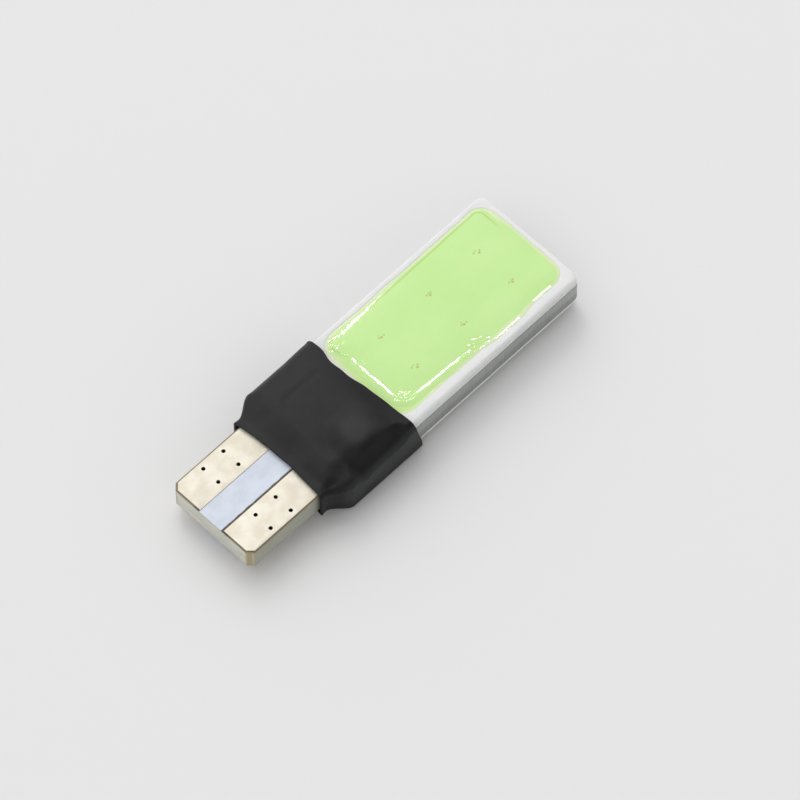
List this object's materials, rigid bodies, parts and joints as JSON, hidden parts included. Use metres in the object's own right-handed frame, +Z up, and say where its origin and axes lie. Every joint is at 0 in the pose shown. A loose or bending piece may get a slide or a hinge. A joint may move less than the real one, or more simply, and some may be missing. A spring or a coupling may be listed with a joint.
{
  "type": "wedge base led bulb",
  "caption": "Flat double-sided LED lamp: wedge tongue with plated contacts, black shrink sleeve over the driver, and a lit plate with gel windows ringed by white dams.",
  "frame": {"origin": "middle of the lamp's length and width, on the plane that it lies on", "axes": "+X along the lamp from the wedge tip to the lit end, +Z up through the front face, +Y to the left seen from above with the tip nearest"},
  "size_m": [0.033, 0.011, 0.0045],
  "materials": {
    "laminate": "glass-fibre laminate, pale yellow-green with brown sawn edges",
    "tin_plating": "warm dull tin plating",
    "aluminium": "satin, sheared edge",
    "pale_mask": "bluish white print",
    "white_insulation": "white insulating layer",
    "white_silicone": "glossy white bead",
    "phosphor_gel": "glossy yellow-green gel",
    "led_chip": "pale sapphire chip",
    "bond_wire": "fine gold-coloured wire",
    "copper_land": "copper land",
    "solder": "bright solder",
    "capped_part": "ceramic chip part with tinned ends",
    "moulded_part": "black moulded package",
    "black_film": "satin black shrunk film"
  },
  "bodies": {
    "root": {"base_board": "laminate", "left_contact": "tin_plating", "right_contact": "tin_plating", "left_board_tail": "tin_plating", "right_board_tail": "tin_plating", "core_plate": "aluminium", "front_mask_stripe": "pale_mask", "rear_mask_stripe": "pale_mask", "front_white_layer": "white_insulation", "rear_white_layer": "white_insulation", "front_dam": "white_silicone", "rear_dam": "white_silicone", "front_phosphor_gel": "phosphor_gel", "rear_phosphor_gel": "phosphor_gel", "front_chip_1": "led_chip", "front_chip_2": "led_chip", "front_chip_3": "led_chip", "front_chip_4": "led_chip", "front_chip_5": "led_chip", "front_chip_6": "led_chip", "rear_chip_1": "led_chip", "rear_chip_2": "led_chip", "rear_chip_3": "led_chip", "rear_chip_4": "led_chip", "rear_chip_5": "led_chip", "rear_chip_6": "led_chip", "front_bond_wires": "bond_wire", "rear_bond_wires": "bond_wire", "front_left_land": "copper_land", "front_right_land": "copper_land", "rear_left_land": "copper_land", "rear_right_land": "copper_land", "front_left_solder_joint": "solder", "front_right_solder_joint": "solder", "rear_left_solder_joint": "solder", "rear_right_solder_joint": "solder", "front_resistor": "capped_part", "filter_capacitor": "capped_part", "left_load_resistor": "capped_part", "right_load_resistor": "capped_part", "current_regulator": "moulded_part", "left_near_diode": "moulded_part", "left_far_diode": "moulded_part", "right_near_diode": "moulded_part", "right_far_diode": "moulded_part", "heat_shrink_sleeve": "black_film"}
  },
  "joints": []
}
